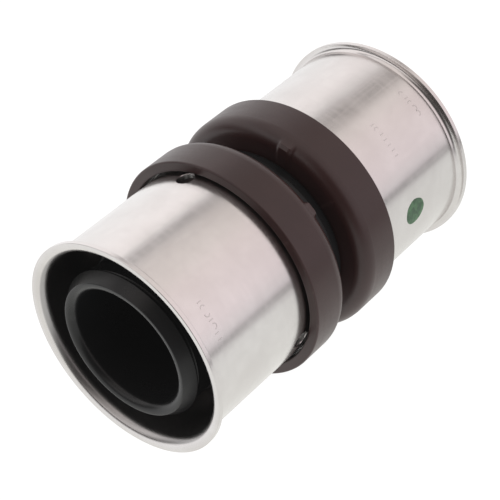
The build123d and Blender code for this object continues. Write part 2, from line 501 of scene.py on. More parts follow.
def corner_points(at: Vector, before: Vector, after: Vector, fillet: float) -> list[Point]:
    """Arc and support points of one corner.

    Args:
        at: The sharp corner.
        before: From the corner to the one before it.
        after: From the corner to the one after it.
        fillet: Radius of the arc.

    Returns:
        The points in order.
    """
    one = before.normalized()
    two = after.normalized()
    half = one.angle(two) / 2
    if fillet <= 0 or math.pi - 2 * half < STRAIGHT:
        return [tuple(at)]
    back = fillet / math.tan(half)
    centre = at + (one + two).normalized() * (fillet / math.sin(half))
    first = at + one * back - centre
    turn = math.pi - 2 * half
    side = 1.0 if one.x * two.y - one.y * two.x < 0 else -1.0
    steps = max(2, math.ceil(turn / ARC_STEP))
    arc = [centre + Matrix.Rotation(side * turn * k / steps, 2) @ first for k in range(steps + 1)]
    spare_before = min(SUPPORT, (before.length - back) * SUPPORT_SHARE)
    spare_after = min(SUPPORT, (after.length - back) * SUPPORT_SHARE)
    if spare_before > SHORTEST_SUPPORT:
        arc.insert(0, at + one * (back + spare_before))
    if spare_after > SHORTEST_SUPPORT:
        arc.append(at + two * (back + spare_after))
    return [tuple(point) for point in arc]


def divided(points: list[Point], low: float, high: float, step: float) -> list[Point]:
    """The closed outline with extra points on the long runs between two stations.

    Args:
        points: The outline.
        low: Where the extra points start, as a distance from the middle of the coupling.
        high: Where they end.
        step: Distance between them.

    Returns:
        The outline with the extra points.
    """
    finer: list[Point] = []
    for (x0, r0), (x1, r1) in zip(points, points[1:] + points[:1]):
        finer.append((x0, r0))
        if abs(x1 - x0) < 4 * step:
            continue
        count = int(abs(x1 - x0) / step)
        for k in range(1, count):
            x = x0 + (x1 - x0) * k / count
            if low <= x <= high:
                finer.append((x, r0 + (r1 - r0) * k / count))
    return finer


def shape_tree(name: str, inputs: dict) -> tuple[Tree, dict, dict]:
    """Start a Geometry Nodes tree that takes a mesh and its material, and gives a mesh."""
    both = {"Geometry": "Geometry", "Material": "Material"}
    return shared_tree(name, "GeometryNodeTree", both | inputs, {"Geometry": "Geometry"})


def close_shape(tree: Tree, entries: dict, exits: dict, mesh: Socket) -> bpy.types.NodeTree:
    """Realize a shape tree's mesh, set its material and give it out."""
    real = tree.add("GeometryNodeRealizeInstances", {"Geometry": mesh}).outputs[0]
    inputs = {"Geometry": real, "Material": entries["Material"]}
    tree.feed(exits["Geometry"], tree.add("GeometryNodeSetMaterial", inputs).outputs[0])
    return tree.tree


def around_axis(tree: Tree, along: Socket, radius: Socket, angle: Socket) -> Socket:
    """The place at a distance and an angle about X."""
    inputs = {
        "X": along,
        "Y": tree.math("MULTIPLY", radius, tree.math("COSINE", angle)),
        "Z": tree.math("MULTIPLY", radius, tree.math("SINE", angle)),
    }
    return tree.add("ShaderNodeCombineXYZ", inputs).outputs[0]


class Lathe:
    """The Geometry Nodes tree that turns a section about X, with a swell at one angle."""

    def __init__(self) -> None:
        """Build the tree."""
        tree, entries, exits = shape_tree(
            "turned_section",
            {"Segments": "Int", "Swell Angle": "Float", "Swell Flat": "Float",
             "Swell Reach": "Float"},
        )
        section = entries["Geometry"]
        columns = self._whole(tree, "ADD", entries["Segments"], 1)
        count = tree.add("GeometryNodeAttributeDomainSize", {0: section}).outputs["Point Count"]
        rows = self._whole(tree, "ADD", count, 1)
        grid = tree.add("GeometryNodeMeshGrid", {"Vertices X": rows, "Vertices Y": columns})
        index = tree.add("GeometryNodeInputIndex").outputs[0]
        row = self._whole(tree, "DIVIDE_FLOOR", index, columns)
        column = self._whole(tree, "MODULO", index, columns)
        point = self._whole(tree, "MODULO", row, count)
        place = tree.add("GeometryNodeInputPosition").outputs[0]
        swell = tree.add(
            "GeometryNodeInputNamedAttribute", {"Name": "swell"}, data_type="FLOAT_VECTOR"
        ).outputs["Attribute"]
        turn = tree.math("DIVIDE", column, entries["Segments"])
        angle = tree.math("MULTIPLY", turn, 2.0 * math.pi)
        apart = tree.math("SUBTRACT", angle, entries["Swell Angle"])
        apart = tree.math("ARCCOSINE", tree.math("COSINE", apart))
        share = tree.step(apart, entries["Swell Flat"], entries["Swell Reach"], out=(1.0, 0.0))
        moved = tree.scaled(self._at(tree, section, swell, point), share)
        drawn = tree.vector("ADD", self._at(tree, section, place, point), moved)
        axes = tree.add("ShaderNodeSeparateXYZ", {0: drawn}).outputs
        around = around_axis(tree, axes["X"], axes["Y"], angle)
        placed = tree.add(
            "GeometryNodeSetPosition", {"Geometry": grid.outputs["Mesh"], "Position": around}
        ).outputs[0]
        closed = tree.add(
            "GeometryNodeMergeByDistance", {"Geometry": placed, "Distance": SEAM_MERGE * MM}
        ).outputs[0]
        self.tree = close_shape(tree, entries, exits, closed)

    @staticmethod
    def _whole(tree: Tree, operation: str, first: Socket, second: object) -> Socket:
        """Output of an Integer Math node."""
        node = tree.add("FunctionNodeIntegerMath", {0: first, 1: second}, operation=operation)
        return node.outputs[0]

    @staticmethod
    def _at(tree: Tree, section: Socket, value: Socket, point: Socket) -> Socket:
        """A vector of the section at one of its points."""
        inputs = {"Geometry": section, "Value": value, "Index": point}
        settings = {"data_type": "FLOAT_VECTOR", "domain": "POINT"}
        return tree.add("GeometryNodeSampleIndex", inputs, **settings).outputs["Value"]


class Punch:
    """The Geometry Nodes tree that punches a row of holes round a tube."""

    def __init__(self) -> None:
        """Build the tree."""
        tree, entries, exits = shape_tree(
            "punched_row",
            {"Cutter": "Object", "Count": "Int", "First Angle": "Float", "Station": "Float"},
        )
        middle = tree.add("ShaderNodeCombineXYZ", {"X": entries["Station"]}).outputs[0]
        points = tree.add("GeometryNodePoints", {"Count": entries["Count"], "Position": middle})
        index = tree.add("GeometryNodeInputIndex").outputs[0]
        pitch = tree.math("DIVIDE", 2.0 * math.pi, entries["Count"])
        angle = tree.math("MULTIPLY_ADD", index, pitch, entries["First Angle"])
        turn = tree.add("ShaderNodeCombineXYZ", {"X": angle}).outputs[0]
        cutter = tree.add("GeometryNodeObjectInfo", {"Object": entries["Cutter"]})
        row = tree.add(
            "GeometryNodeInstanceOnPoints",
            {"Points": points.outputs[0], "Instance": cutter.outputs["Geometry"], "Rotation": turn},
        ).outputs[0]
        punches = tree.add("GeometryNodeRealizeInstances", {"Geometry": row}).outputs[0]
        cut = tree.add(
            "GeometryNodeMeshBoolean", {"Mesh 1": entries["Geometry"], "Mesh 2": punches},
            operation="DIFFERENCE", solver="EXACT",
        ).outputs["Mesh"]
        self.tree = close_shape(tree, entries, exits, cut)


class StampedRow:
    """The Geometry Nodes tree that stamps a row of marks round a tube, drawn by a seed."""

    def __init__(self) -> None:
        """Build the tree."""
        numbers = ("Radius", "Station", "First Angle", "Pitch Angle", "Wander")
        inputs = {"Marks": "Collection", "Count": "Int", "Seed": "Int"}
        tree, entries, exits = shape_tree("stamped_row", inputs | dict.fromkeys(numbers, "Float"))
        index = tree.add("GeometryNodeInputIndex").outputs[0]
        angle = tree.math("MULTIPLY_ADD", index, entries["Pitch Angle"], entries["First Angle"])
        shift = self._drawn(tree, "FLOAT", -1.0, 1.0, entries["Seed"])
        station = tree.math("MULTIPLY_ADD", shift, entries["Wander"], entries["Station"])
        place = around_axis(tree, station, entries["Radius"], angle)
        points = tree.add("GeometryNodePoints", {"Count": entries["Count"], "Position": place})
        marks = tree.add(
            "GeometryNodeCollectionInfo",
            {"Collection": entries["Marks"], "Separate Children": True, "Reset Children": True},
        )
        turn = tree.add("ShaderNodeCombineXYZ", {"X": angle}).outputs[0]
        row = tree.add(
            "GeometryNodeInstanceOnPoints",
            {"Points": points.outputs[0], "Instance": marks.outputs[0], "Pick Instance": True,
             "Instance Index": self._drawn(tree, "INT", 0, 3, entries["Seed"]),
             "Rotation": turn},
        ).outputs[0]
        self.tree = close_shape(tree, entries, exits, row)

    @staticmethod
    def _drawn(tree: Tree, kind: str, low: float, high: float, seed: Socket) -> Socket:
        """A random value for each mark, between two limits."""
        node = tree.add("FunctionNodeRandomValue", data_type=kind)
        live = {s.name: s for s in node.inputs if s.enabled}
        live["Min"].default_value = low
        live["Max"].default_value = high
        tree.feed(live["Seed"], seed)
        return next(s for s in node.outputs if s.enabled)


class Workshop:
    """The shared trees, effects and materials, and the making of plain meshes from them."""

    def __init__(self) -> None:
        """Build what every sub-assembly uses."""
        self.effects = Effects()
        self.lathe = Lathe()
        self.punch = Punch()
        self.stamp = StampedRow()
        finishes = (STEEL, ETCHED, BROWN, BLACK, RUBBER, GREEN)
        self.materials = {f.name: f.material(self.effects) for f in finishes}

    def material(self, finish: Finish) -> bpy.types.Material:
        """The material of a finish."""
        return self.materials[finish.name]

    @staticmethod
    def blank(name: str, points: list[Point], swells: list[Point] | None = None) -> bpy.types.Object:
        """A host object that holds a section's points.

        Args:
            name: Name of the piece.
            points: (x, radius) points in millimetres.
            swells: How far each point moves where the section swells, in millimetres.

        Returns:
            The object, linked to the scene.
        """
        mesh = bpy.data.meshes.new(name)
        mesh.from_pydata([(x * MM, r * MM, 0.0) for x, r in points], [], [])
        swell = mesh.attributes.new("swell", "FLOAT_VECTOR", "POINT")
        for item, (dx, dr) in zip(swell.data, swells or [(0.0, 0.0)] * len(points)):
            item.vector = (dx * MM, dr * MM, 0.0)
        host = bpy.data.objects.new(name, mesh)
        bpy.context.scene.collection.objects.link(host)
        return host

    @staticmethod
    def run(host: bpy.types.Object, tree: bpy.types.NodeTree, **values: object) -> None:
        """Run a tree on a host and keep its result as the host's plain mesh.

        Args:
            host: The object to work on.
            tree: The Geometry Nodes tree.
            values: Inputs by name, with underscores for spaces.
        """
        modifier = host.modifiers.new(tree.name, "NODES")
        modifier.node_group = tree
        sockets = {s.name: s for s in tree.interface.items_tree if s.in_out == "INPUT"}
        for name, value in values.items():
            modifier[sockets[name.replace("_", " ")].identifier] = value
        depsgraph = bpy.context.evaluated_depsgraph_get()
        depsgraph.update()
        made = bpy.data.meshes.new_from_object(host.evaluated_get(depsgraph))
        host.modifiers.clear()
        spent = host.data
        host.data = made
        bpy.data.meshes.remove(spent)
        made.name = host.name

    def turned(
        self,
        name: str,
        points: list[Point],
        finish: Finish,
        segments: int = 384,
        swells: list[Point] | None = None,
        swell: tuple[float, float, float] = (0.0, 0.0, 1.0),
    ) -> bpy.types.Object:
        """Turn a section about the axis.

        Args:
            name: Name of the piece.
            points: The closed section.
            finish: Its finish.
            segments: Faces around.
            swells: How far each point moves in the swell.
            swell: The swell's angle, flat half width and reach, in degrees.

        Returns:
            The piece.
        """
        host = self.blank(name, points, swells)
        angle, flat, reach = (math.radians(value) for value in swell)
        self.run(
            host, self.lathe.tree, Segments=segments, Swell_Angle=angle, Swell_Flat=flat,
            Swell_Reach=reach, Material=self.material(finish),
        )
        return host

    @staticmethod
    def finished(piece: bpy.types.Object, sharp_angle: float = 34.0) -> bpy.types.Object:
        """Close a piece's mesh, turn its faces outwards and shade it smooth up to an angle."""
        body = bmesh.new()
        body.from_mesh(piece.data)
        bmesh.ops.remove_doubles(body, verts=body.verts, dist=POINT_MERGE * MM)
        bmesh.ops.recalc_face_normals(body, faces=body.faces)
        body.to_mesh(piece.data)
        body.free()
        for name in ("swell", "sharp_face"):
            spare = piece.data.attributes.get(name)
            if spare is not None:
                piece.data.attributes.remove(spare)
        piece.data.set_sharp_from_angle(angle=math.radians(sharp_angle))
        return piece


def from_faces(
    name: str, points: list[tuple], faces: list[tuple], material: bpy.types.Material
) -> bpy.types.Object:
    """An object with a plain mesh.

    Args:
        name: Its name.
        points: Places in metres.
        faces: Point indices of each face.
        material: Its material.

    Returns:
        The object, linked to the scene.
    """
    mesh = bpy.data.meshes.new(name)
    mesh.from_pydata(points, [], faces)
    mesh.materials.append(material)
    piece = bpy.data.objects.new(name, mesh)
    bpy.context.scene.collection.objects.link(piece)
    return piece


def report(piece: bpy.types.Object) -> None:
    """Log a piece's name and its number of triangles."""
    triangles = sum(len(face.vertices) - 2 for face in piece.data.polygons)
    LOG.info("%s: %d triangles", piece.name, triangles)


# ---------------------------------------------------------------------------------------------
# Sub-assemblies
# ---------------------------------------------------------------------------------------------


@dataclass
class InsertBody:
    """Black double nipple with its collar, snap grooves, O-ring grooves, barbs and bore."""

    half_length: float = 32.0
    bore_radius: float = 10.1
    bore_round: float = 1.3
    tip_radius: float = 12.8
    tip_start: float = 29.9
    cone_start: float = 30.1
    tip_front: float = 11.65
    tip_edge: float = 0.2
    barb_radius: float = 12.3
    barb_root: float = 11.7
    barb_step: float = 0.1
    barb_crests: tuple[float, ...] = (25.2, 27.0, 29.1)
    nipple_radius: float = 12.8
    groove_radius: float = 11.4
    groove_half: float = 1.0
    groove_centres: tuple[float, ...] = (18.0, 23.5)
    hub_radius: float = 13.6
    hub_end: float = 8.8
    snap_groove: tuple[float, float, float] = (4.0, 5.4, 13.1)
    collar_radius: float = 14.8
    collar_half: float = 2.15
    rib_radius: float = 15.1
    rib_half: float = 0.7
    edge: float = 0.08
    segments: int = 160

    def section(self) -> list[Point]:
        """The closed section, from the front tip along the outside to the rear tip and back."""
        e = self.edge
        start, end, floor = self.snap_groove
        half: list[Corner] = [
            (self.rib_half, self.rib_radius, 0.2),
            (self.rib_half, self.collar_radius, e),
            (self.collar_half, self.collar_radius, 0.4),
            (self.collar_half, self.hub_radius, e),
            (start, self.hub_radius, e),
            (start, floor, e),
            (end, floor, e),
            (end, self.hub_radius, e),
            (self.hub_end, self.hub_radius, 0.2),
            (self.hub_end + self.hub_radius - self.nipple_radius, self.nipple_radius, 0.2),
        ]
        for centre in self.groove_centres:
            half += [
                (centre - self.groove_half, self.nipple_radius, 0.15),
                (centre - self.groove_half, self.groove_radius, e),
                (centre + self.groove_half, self.groove_radius, e),
                (centre + self.groove_half, self.nipple_radius, 0.15),
            ]
        for crest in self.barb_crests:
            half += [
                (crest - self.barb_step, self.barb_root, 0.04),
                (crest, self.barb_radius, 0.06),
            ]
        half += [
            (self.tip_start - self.barb_step, self.barb_root, 0.04),
            (self.tip_start, self.tip_radius, 0.1),
            (self.cone_start, self.tip_radius, 0.1),
            (self.half_length, self.tip_front, self.tip_edge),
            (self.half_length, self.bore_radius, self.bore_round),
        ]
        mirrored = [(-x, r, fillet) for x, r, fillet in reversed(half)]
        return rounded(mirrored + half)

    def build(self, shop: Workshop) -> None:
        """Make and dress the body, and let it ride on the insert."""
        body = shop.turned("insert_moulding", self.section(), BLACK, self.segments)
        body = shop.finished(body)
        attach(body, "insert")
        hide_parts("insert_body")
        report(body)


@dataclass
class Seal:
    """One O-ring with the fine flash line that its mould leaves."""

    end: End
    place: str
    station: float
    groove_radius: float = 11.4
    section_radius: float = 0.8
    flash: float = 0.02
    steps: int = 40
    segments: int = 192

    def section(self) -> list[Point]:
        """The round section, with a small ridge on its outermost line."""
        centre = self.groove_radius + self.section_radius
        points = []
        for k in range(self.steps):
            turn = 2 * math.pi * k / self.steps
            ridge = self.flash if k == self.steps // 4 else 0.0
            radius = self.section_radius - self.flash + ridge
            x = self.end.value * self.station + radius * math.cos(turn)
            points.append((x, centre + radius * math.sin(turn)))
        return points

    def build(self, shop: Workshop) -> None:
        """Make and dress the O-ring, and let it ride on the insert."""
        name = f"{self.end.word}_{self.place}_seal"
        seal = shop.finished(shop.turned(name, self.section(), RUBBER, self.segments))
        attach(seal, "insert")
        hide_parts(f"{self.end.word}_{self.place}_o_ring")
        report(seal)


@dataclass
class PressSleeve:
    """Drawn steel sleeve with a flared mouth, a held flange and three inspection windows."""

    end: End
    first_window_angle: float
    inner_radius: float = 16.5
    outer_radius: float = 17.3
    start: float = 6.4
    mouth: float = 32.0
    lip_radius: float = 18.5
    lip_edge: float = 0.12
    bend: float = 0.8
    flange_radius: float = 18.1
    window_radius: float = 1.4
    window_station: float = 10.9
    window_count: int = 3
    window_margin: float = 0.6
    window_step: float = 0.3
    wall_step: float = 2.5
    rim_roll: float = 0.12
    rim_depth: float = 0.04
    rim_steps: int = 4
    punch_spare: float = 2.0
    punch_segments: int = 48

    @property
    def wall(self) -> float:
        """Thickness of the sheet."""
        return self.outer_radius - self.inner_radius

    def section(self) -> list[Point]:
        """The closed section of the sheet, finer where the windows are punched."""
        wall = self.wall
        corners: list[Corner] = [
            (self.start, self.inner_radius, 0.15),
            (self.mouth, self.inner_radius, self.bend + wall),
            (self.mouth, self.lip_radius, self.lip_edge),
            (self.mouth - wall, self.lip_radius, self.lip_edge),
            (self.mouth - wall, self.outer_radius, self.bend),
            (self.start + wall, self.outer_radius, 0.15),
            (self.start + wall, self.flange_radius, 0.3),
            (self.start, self.flange_radius, 0.3),
        ]
        reach = self.window_radius + self.window_margin
        low = self.window_station - reach
        points = divided(rounded(corners), low, self.window_station + reach, self.window_step)
        points = divided(points, self.start, self.mouth, self.wall_step)
        return [(self.end.value * x, r) for x, r in points]

    def cutter(self, shop: Workshop) -> bpy.types.Object:
        """The punch: a pin along +Y that flares where it leaves the sheet."""
        hole = self.window_radius
        roll = self.rim_roll
        start = self.inner_radius - self.punch_spare
        end = self.outer_radius + self.punch_spare
        top = self.outer_radius - self.rim_depth
        points = [(start, 0.0), (start, hole)]
        for k in range(self.rim_steps + 1):
            turn = math.radians(90.0 * k / self.rim_steps)
            points.append((top - roll + roll * math.sin(turn), hole + roll * (1 - math.cos(turn))))
        points += [(end, hole + roll), (end, 0.0)]
        pin = shop.turned("window_punch", points, STEEL, self.punch_segments)
        pin = shop.finished(pin)
        pin.data.transform(Matrix.Rotation(math.pi / 2, 4, "Z"))
        return pin

    def build(self, shop: Workshop) -> None:
        """Make and dress the sleeve, and let it ride on its own body."""
        sleeve = shop.turned(f"{self.end.word}_sleeve_shell", self.section(), STEEL)
        sleeve = shop.finished(sleeve)
        pin = self.cutter(shop)
        shop.run(
            sleeve, shop.punch.tree, Cutter=pin, Count=self.window_count,
            First_Angle=math.radians(self.first_window_angle),
            Station=self.end.value * self.window_station * MM, Material=shop.material(STEEL),
        )
        bpy.data.objects.remove(pin)
        sleeve = shop.finished(sleeve)
        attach(sleeve, f"{self.end.word}_sleeve")
        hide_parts(f"{self.end.word}_press_sleeve")
        report(sleeve)


@dataclass
class RetainingRing:
    """Brown moulded ring that holds a sleeve on the hub, with one rounded lug."""

    end: End
    lug_angle: float
    inner_face: float = 2.3
    outer_face: float = 10.05
    radius: float = 19.4
    shoulder: float = 2.4
    edge: float = 0.3
    mouth_radius: float = 17.7
    channel: tuple[float, float, float] = (6.25, 7.35, 18.4)
    spigot: tuple[float, float] = (9.4, 16.42)
    bore_radius: float = 13.68
    bead: tuple[float, float, float] = (4.15, 5.25, 13.25)
    small: float = 0.1
    lug_top: float = 18.9
    lug_start: float = 1.95
    lug_flat: float = 0.8
    lug_reach: float = 1.6
    lug_root: float = 0.4
    lug_power: float = 7.0
    segments: int = 576

    def corners(self) -> list[Corner]:
        """Corners of the U-shaped section for the rear ring."""
        s = self.small
        bead_start, bead_end, bead_radius = self.bead
        channel_start, channel_end, channel_radius = self.channel
        spigot_end, spigot_radius = self.spigot
        return [
            (self.inner_face, self.bore_radius, s),
            (bead_start, self.bore_radius, s),
            (bead_start, bead_radius, s),
            (bead_end, bead_radius, s),
            (bead_end, self.bore_radius, s),
            (spigot_end, self.bore_radius, s),
            (spigot_end, spigot_radius, s),
            (channel_start, spigot_radius, s),
            (channel_start, channel_radius, s),
            (channel_end, channel_radius, s),
            (channel_end, self.mouth_radius, s),
            (self.outer_face, self.mouth_radius, self.edge),
            (self.outer_face, self.radius, self.edge),
            (self.inner_face, self.radius, self.shoulder),
        ]

    def swell(self, point: Point) -> Point:
        """How far a point of the section moves to the lug's outline."""
        x, r = point
        centre_x = self.inner_face + self.shoulder
        centre_r = self.radius - self.shoulder
        if x > centre_x or r < centre_r - self.lug_root:
            return (0.0, 0.0)
        turn = math.atan2(max(r - centre_r, 0.0), centre_x - x)
        ray = Vector((-math.cos(turn), math.sin(turn)))
        wide = centre_x - self.lug_start
        high = self.lug_top - centre_r
        power = self.lug_power
        reach = ((abs(ray.x) / wide) ** power + (abs(ray.y) / high) ** power) ** (-1 / power)
        gain = max(0.0, reach - math.hypot(x - centre_x, r - centre_r))
        return (ray.x * gain, ray.y * gain)

    def section(self) -> tuple[list[Point], list[Point]]:
        """The section of this end's ring, and the swell of each of its points."""
        points = rounded(self.corners())
        swells = [self.swell(point) for point in points]
        side = self.end.value
        return [(side * x, r) for x, r in points], [(side * dx, dr) for dx, dr in swells]

    def build(self, shop: Workshop) -> None:
        """Make and dress the ring, and let it ride on its own body."""
        points, swells = self.section()
        arc = math.degrees(1 / self.lug_top)
        swell = (self.lug_angle, self.lug_flat * arc, self.lug_reach * arc)
        name = f"{self.end.word}_ring_moulding"
        ring = shop.finished(shop.turned(name, points, BROWN, self.segments, swells, swell))
        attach(ring, f"{self.end.word}_ring")
        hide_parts(f"{self.end.word}_retaining_ring")
        report(ring)


@dataclass
class PaintMark:
    """Round paint mark on the rear sleeve, a thin film with a rounded rim."""

    angle: float = 172.7
    station: float = 18.7
    half_along: float = 2.4
    half_around: float = 2.2
    radius: float = 17.3
    film: float = 0.035
    rim_sunk: float = 0.004
    sunk: float = 0.01
    rings: tuple[float, ...] = (0.0, 0.3, 0.6, 0.8, 0.9, 0.95, 0.98, 1.0)
    steps: int = 72

    def place(self, share: float, turn: float, height: float) -> tuple:
        """A point of the film.

        Args:
            share: Distance from the middle, as a share of the outline's.
            turn: Direction from the middle, in radians.
            height: Height over the sleeve, in millimetres.

        Returns:
            The place in metres.
        """
        wobble = 1 + 0.012 * math.sin(3 * turn + 1.0) + 0.008 * math.sin(7 * turn)
        x = self.station + share * wobble * self.half_along * math.cos(turn)
        around = share * wobble * self.half_around * math.sin(turn)
        angle = math.radians(self.angle) + around / self.radius
        r = self.radius + height
        return (x * MM, r * math.cos(angle) * MM, r * math.sin(angle) * MM)

    def build(self, shop: Workshop) -> None:
        """Make and dress the mark, and let it ride on the rear sleeve."""
        turns = [2 * math.pi * k / self.steps for k in range(self.steps)]
        points = [self.place(0.0, 0.0, self.film)]
        for share in self.rings[1:]:
            height = self.film * math.sqrt(max(0.0, 1 - share**8)) - self.rim_sunk
            points += [self.place(share, turn, height) for turn in turns]
        points.append(self.place(0.0, 0.0, -self.sunk))
        n = self.steps
        last = len(points) - 1
        faces = [(0, 1 + k, 1 + (k + 1) % n) for k in range(n)]
        for ring in range(len(self.rings) - 2):
            base = 1 + ring * n
            for k in range(n):
                m = (k + 1) % n
                faces.append((base + k, base + n + k, base + n + m, base + m))
        base = 1 + (len(self.rings) - 2) * n
        faces += [(last, base + (k + 1) % n, base + k) for k in range(n)]
        mark = from_faces("rear_paint_mark", points, faces, shop.material(GREEN))
        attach(shop.finished(mark, 60.0), "rear_sleeve")
        report(mark)


@dataclass
class StampedMarks:
    """Rows of plain bars and bent strokes stamped in the sleeves, which spell nothing."""

    end: End
    rows: list[tuple[float, float, int, int]]
    radius: float = 17.3
    pitch: float = 3.4
    wander: float = 0.12
    stroke: float = 0.13
    bar_half: float = 0.38
    arc_radius: float = 0.42
    arc_steps: int = 14
    height: float = 0.014
    sunk: float = 0.03
    slope: float = 0.05

    def bar(self, along: float, around: float, shop: Workshop) -> bpy.types.Object:
        """A bar with sloping sides.

        Args:
            along: Half its length along the axis.
            around: Half its length around the sleeve.
            shop: The shared materials.

        Returns:
            The bar, which stands on the XZ plane with +Y outwards.
        """
        points = []
        for height, spare in ((-self.sunk, self.slope), (self.height, 0.0)):
            a = along + spare
            b = around + spare
            points += [(x * MM, height * MM, z * MM) for x, z in ((-a, -b), (a, -b), (a, b), (-a, b))]
        faces = [(0, 1, 2, 3), (7, 6, 5, 4)]
        faces += [(k, k + 4, (k + 1) % 4 + 4, (k + 1) % 4) for k in range(4)]
        name = f"{self.end.word}_mark_{along:g}_{around:g}"
        return from_faces(name, points, faces, shop.material(ETCHED))

    def arc(self, first: float, last: float, shop: Workshop) -> bpy.types.Object:
        """A bent stroke with sloping sides.

        Args:
            first: Angle of its one end, in degrees.
            last: Angle of its other end.
            shop: The shared materials.

        Returns:
            The stroke, which stands on the XZ plane with +Y outwards.
        """
        half = self.stroke / 2
        steps = self.arc_steps
        points = []
        for k in range(steps + 1):
            turn = math.radians(first + (last - first) * k / steps)
            for radius, height in (
                (self.arc_radius - half - self.slope, -self.sunk),
                (self.arc_radius - half, self.height),
                (self.arc_radius + half, self.height),
                (self.arc_radius + half + self.slope, -self.sunk),
            ):
                points.append(
                    (radius * math.cos(turn) * MM, height * MM, radius * math.sin(turn) * MM)
                )
        faces = [(3, 2, 1, 0), tuple(4 * steps + k for k in range(4))]
        for k in range(steps):
            base = 4 * k
            for side in range(4):
                other = (side + 1) % 4
                faces.append((base + side, base + other, base + 4 + other, base + 4 + side))
        name = f"{self.end.word}_arc_{first:g}"
        return from_faces(name, points, faces, shop.material(ETCHED))

    def marks(self, shop: Workshop) -> bpy.types.Collection:
        """The kinds of mark that a row draws from."""
        half = self.stroke / 2
        kinds = bpy.data.collections.new(f"{self.end.word}_marks")
        strokes = [
            self.arc(-100.0, 100.0, shop),
            self.arc(20.0, 200.0, shop),
            self.bar(self.bar_half, half, shop),
            self.arc(190.0, 350.0, shop),
        ]
        for stroke in strokes:
            bpy.context.scene.collection.objects.unlink(stroke)
            kinds.objects.link(stroke)
        return kinds

    def build(self, shop: Workshop) -> None:
        """Stamp every row, join them and let them ride on the sleeve."""
        kinds = self.marks(shop)
        made = []
        for number, (station, first, count, seed) in enumerate(self.rows):
            host = shop.blank(f"{self.end.word}_row_{number}", [(0.0, 0.0)])
            shop.run(
                host, shop.stamp.tree, Marks=kinds, Count=count, Seed=seed,
                Radius=self.radius * MM, Station=self.end.value * station * MM,
                First_Angle=math.radians(first), Pitch_Angle=math.radians(self.pitch),
                Wander=self.wander * MM, Material=shop.material(ETCHED),
            )
            made.append(host)
        joined = bmesh.new()
        for host in made:
            joined.from_mesh(host.data)
            bpy.data.objects.remove(host)
        mesh = bpy.data.meshes.new(f"{self.end.word}_sleeve_marks")
        joined.to_mesh(mesh)
        joined.free()
        mesh.materials.append(shop.material(ETCHED))
        piece = bpy.data.objects.new(mesh.name, mesh)
        bpy.context.scene.collection.objects.link(piece)
        for bar in list(kinds.objects):
            bpy.data.objects.remove(bar)
        bpy.data.collections.remove(kinds)
        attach(shop.finished(piece), f"{self.end.word}_sleeve")
        report(piece)


# ---------------------------------------------------------------------------------------------
# Studio
# ---------------------------------------------------------------------------------------------


